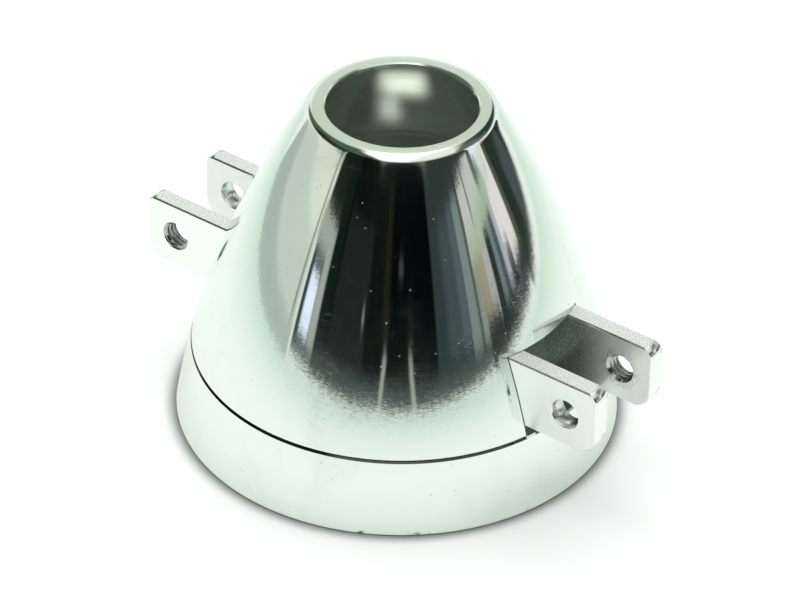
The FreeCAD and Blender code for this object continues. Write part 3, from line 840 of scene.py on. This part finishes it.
def overhead(azimuth, elevation):
    """Share of the softbox in a direction, and of its dimmer right half: between two lines that
    meet behind, in the plane of the zenith angles u to the right and v to the front."""
    u = (90 - elevation) * np.sin(np.radians(azimuth))
    v = (90 - elevation) * np.cos(np.radians(azimuth))
    left = SOFTBOX_LEFT * np.clip((v - SOFTBOX_LEFT_BACK) / SOFTBOX_LEFT_RUN, 0.05, 1)
    right = np.interp(v, SOFTBOX_RIGHT_V, SOFTBOX_RIGHT_U)
    inside = edge(u - left, 5) * edge(right - u, 7) * edge(SOFTBOX_FRONT - v, 22) * edge(v - SOFTBOX_BACK, 5)
    return inside * (elevation > SOFTBOX_LOWEST), edge(u - SOFTBOX_DIM, 12)[..., None]


def blend_in(value, low, high, soft):
    """1 between low and high, falling to 0 over the softness at both ends."""
    step = np.minimum(edge(value - low, soft), edge(high - value, soft))
    return step * step * (3 - 2 * step)


def room_colour(azimuth, elevation):
    """Colour of the room in a direction: the panels are laid over each other in turn, then the
    softbox and the legs.  Divided by the metal's tone, so that it comes out as written in it."""
    colour = np.ones(azimuth.shape + (3,)) * srgb(*BACK_TONE)
    for left, right, low, high, soft, tone in PANELS:
        weight = blend_in(azimuth, left, right, soft) * blend_in(elevation, low, high, soft)
        colour += weight[..., None] * (srgb(*tone) - colour)
    weight, dim = overhead(azimuth, elevation)
    softbox = SOFTBOX * srgb(*SOFTBOX_TONE) * (1 - dim) + srgb(*SOFTBOX_DIM_TONE) * dim
    colour += weight[..., None] * (softbox - colour)
    for at_high, at_low, width in LEGS:
        middle = at_low + (elevation - LEG_LOW) / (LEG_HIGH - LEG_LOW) * (at_high - at_low)
        weight = blend_in(azimuth - middle, -width / 2, width / 2, 1.0)
        weight *= blend_in(elevation, LEG_LOW - 0.1, LEG_TOP, 1.0)
        colour += weight[..., None] * (srgb(*LEG_TONE) - colour)
    return colour / METAL


def make_room():
    """Dome of panels: a sphere patch (R cos e cos a, R cos e sin a, R sin e) that only reflections see."""
    azimuth = np.linspace(-180, 180, ROOM_COLUMNS)[None, :]
    fine = np.linspace(ROOM_FLOOR, ROOM_FINE, ROOM_FINE_ROWS)
    wide = np.linspace(ROOM_FINE, 90, ROOM_WIDE_ROWS)
    elevation = np.concatenate([fine, wide[1:]])[:, None]
    points = ROOM_R * np.stack(direction(azimuth, elevation), -1)
    mesh = bpy.data.meshes.new("room")
    mesh.from_pydata(points.reshape(-1, 3), [], quads(len(elevation), azimuth.shape[1]).tolist())
    colour = room_colour(azimuth + 0 * elevation, elevation + 0 * azimuth).reshape(-1, 3)
    layer = mesh.color_attributes.new("tone", "FLOAT_COLOR", "POINT")
    layer.data.foreach_set("color", np.concatenate([colour, np.ones((len(colour), 1))], 1).ravel())
    material = bpy.data.materials.new("room_light")
    material.use_nodes = True
    tree = material.node_tree
    tree.nodes.clear()
    tone = add(tree, "ShaderNodeAttribute", attribute_name="tone")
    light = add(tree, "ShaderNodeEmission", {"Color": tone.outputs["Color"], "Strength": 1.0})
    add(tree, "ShaderNodeOutputMaterial", {"Surface": light.outputs[0]})
    material.cycles.emission_sampling = "NONE"
    room = finish_mesh("room", mesh, SHARP_NONE, [material], None)
    for ray in ("camera", "diffuse", "shadow", "transmission", "volume_scatter"):
        setattr(room, "visible_" + ray, False)


def make_floor():
    """White table top, a disc (r cos a, r sin a, 0) of rings that widen outwards, with a painted
    shadow, darker where the object stands close over it; reflections see it a little greener, and darker far
    out."""
    radii = np.concatenate([[0.0], np.geomspace(10 * MM, TABLE_R, FLOOR_RINGS)])
    angle = np.linspace(0, 2 * math.pi, FLOOR_COLUMNS, endpoint=False)[None, :]
    points = turned(radii, 0 * radii, angle)
    mesh = bpy.data.meshes.new("floor")
    mesh.from_pydata(points.reshape(-1, 3), [], quads(len(radii), FLOOR_COLUMNS, False, True).tolist())
    material = bpy.data.materials.new("table_white")
    material.use_nodes = True
    tree = material.node_tree
    shader = tree.nodes["Principled BSDF"]
    shader.inputs["Roughness"].default_value = 0.75
    shader.inputs["Specular IOR Level"].default_value = 0.2
    path = add(tree, "ShaderNodeLightPath").outputs
    reach = length(tree, object_place(tree))
    seen = mixed(tree, ramp(tree, reach, 30 * MM, 0.9 * TABLE_R), TABLE_NEAR_TONE, TABLE_FAR_TONE)
    # Painted shadow: occlusion close to the object darkens the table's colour, which glossy rays don't see.
    contact = add(tree, "ShaderNodeAmbientOcclusion", {"Distance": PAINTED_SHADOW_REACH}, samples=24).outputs["AO"]
    white_with_painted_shadow = mixed(tree, ramp(tree, contact, 0.5, 0.97), PAINTED_CONTACT_SHADOW, TABLE_WHITE)
    tree.links.new(mixed(tree, path["Is Glossy Ray"], white_with_painted_shadow, seen), shader.inputs["Base Color"])
    tree.links.new(white_with_painted_shadow, shader.inputs["Emission Color"])
    tree.links.new(times(tree, path["Is Camera Ray"], TABLE_GLOW), shader.inputs["Emission Strength"])
    finish_mesh("floor", mesh, SHARP_NONE, [material], None)


def soft_light(name, azimuth, elevation, distance, size, watts, tone):
    """Round area light that looks at the origin from a bearing and isn't seen in reflections."""
    light = bpy.data.lights.new(name, "AREA")
    light.shape = "DISK"
    light.size = size
    light.energy = watts
    light.color = tone
    lamp = bpy.data.objects.new(name, light)
    lamp.location = distance * Vector(direction(azimuth, elevation))
    lamp.rotation_euler = lamp.location.to_track_quat("Z", "Y").to_euler()
    lamp.visible_glossy = False
    bpy.context.scene.collection.objects.link(lamp)
    return lamp


def make_nose_lights():
    """Narrow lamps just over the nose that light only the wall inside the hole, on its far side."""
    a = math.radians(CAMERA_AZIMUTH)
    behind = Vector((-math.sin(a), math.cos(a), 0.0))
    right = Vector((math.cos(a), math.sin(a), 0.0))
    for name, depth, shift, width, height, watts in NOSE_LIGHTS:
        lamp = soft_light(name, azimuth=-4, elevation=27, distance=18 * MM, size=width * MM, watts=watts,
                          tone=(1.0, 1.0, 0.9))
        lamp.data.shape = "RECTANGLE"
        lamp.data.size_y = height * MM
        lamp.data.spread = NOSE_LIGHT_SPREAD
        lamp.visible_camera = False
        spot = Vector((0.0, 0.0, NOSE_Z - depth * MM))
        lamp.location += NOSE_HOLE_R * behind + shift * MM * right + spot


def make_world():
    """White for the camera, and a sky at a plain level for all else."""
    world = bpy.data.worlds.new("studio")
    world.use_nodes = True
    tree = world.node_tree
    camera_ray = add(tree, "ShaderNodeLightPath").outputs["Is Camera Ray"]
    base = tree.nodes["Background"]
    base.inputs["Color"].default_value = (1.0, 1.0, 1.0, 1.0)
    tree.links.new(plus(tree, SKY, camera_ray, 1.0 - SKY), base.inputs["Strength"])
    bpy.context.scene.world = world


def make_camera():
    """Camera at its distance from the aim, turned by its roll about its own axis."""
    a = math.radians(CAMERA_AZIMUTH)
    e = math.radians(CAMERA_ELEVATION)
    back = Vector((math.sin(a) * math.cos(e), -math.cos(a) * math.cos(e), math.sin(e)))
    right = Vector((math.cos(a), math.sin(a), 0.0))
    up = back.cross(right)
    turn = math.radians(CAMERA_ROLL)
    right, up = right * math.cos(turn) + up * math.sin(turn), up * math.cos(turn) - right * math.sin(turn)
    data = bpy.data.cameras.new("camera")
    data.lens = CAMERA_LENS
    data.sensor_width = CAMERA_SENSOR
    data.clip_start = CAMERA_NEAR
    camera = bpy.data.objects.new("camera", data)
    rotation = Matrix((right, up, back)).transposed().to_4x4()
    camera.matrix_world = Matrix.Translation(CAMERA_AIM + CAMERA_DISTANCE * back) @ rotation
    bpy.context.scene.collection.objects.link(camera)
    bpy.context.scene.camera = camera


make_room()
make_floor()
make_world()
make_camera()
soft_light("key", azimuth=-162, elevation=72, distance=2.0, size=2.5, watts=24.0, tone=(1.0, 1.0, 1.0))
make_nose_lights()
bpy.context.scene.view_settings.view_transform = "Standard"
